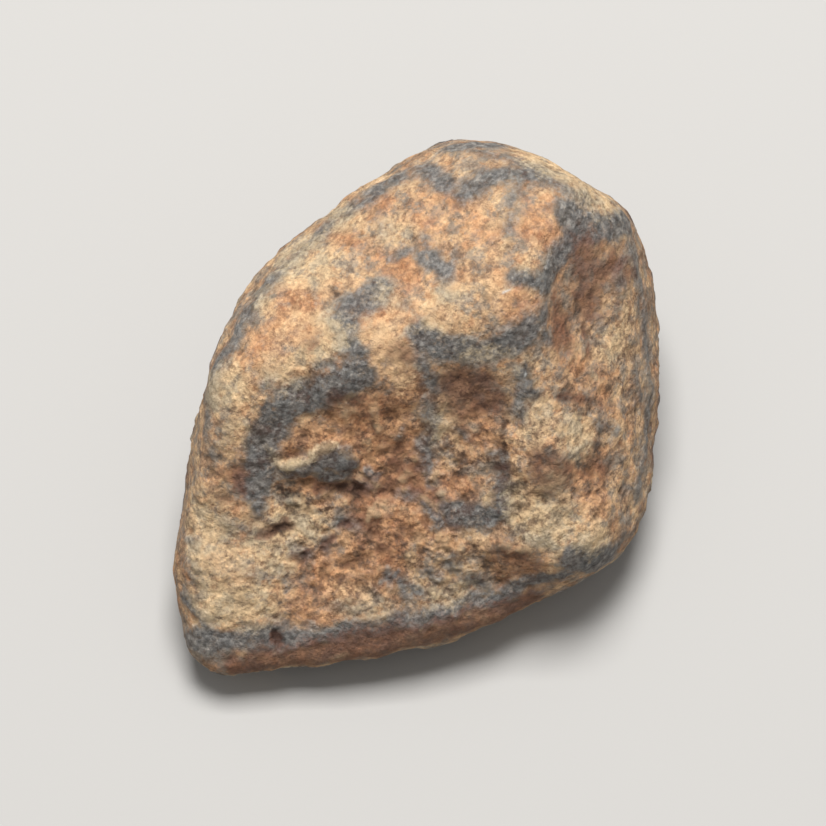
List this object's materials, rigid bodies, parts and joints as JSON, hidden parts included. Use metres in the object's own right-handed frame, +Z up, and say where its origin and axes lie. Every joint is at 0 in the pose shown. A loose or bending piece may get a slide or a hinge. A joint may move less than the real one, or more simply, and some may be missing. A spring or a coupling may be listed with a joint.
{
  "type": "stony meteorite",
  "caption": "Weathered stony meteorite with a pointed nose, a blunt end, worn ridges and a rough rusty hollow, lying on a small flat spot.",
  "frame": {"origin": "bottom centre of the bounding box, level with the flat spot that the stone rests on", "axes": "+X from the pointed nose towards the blunt end, along the stone's length, +Z up"},
  "size_m": [0.0324, 0.0242, 0.0175],
  "materials": {
    "stone": "rough weathered tan stone with rust stains and remains of dark blue-grey crust"
  },
  "bodies": {
    "root": {"stone": "stone"}
  },
  "joints": []
}
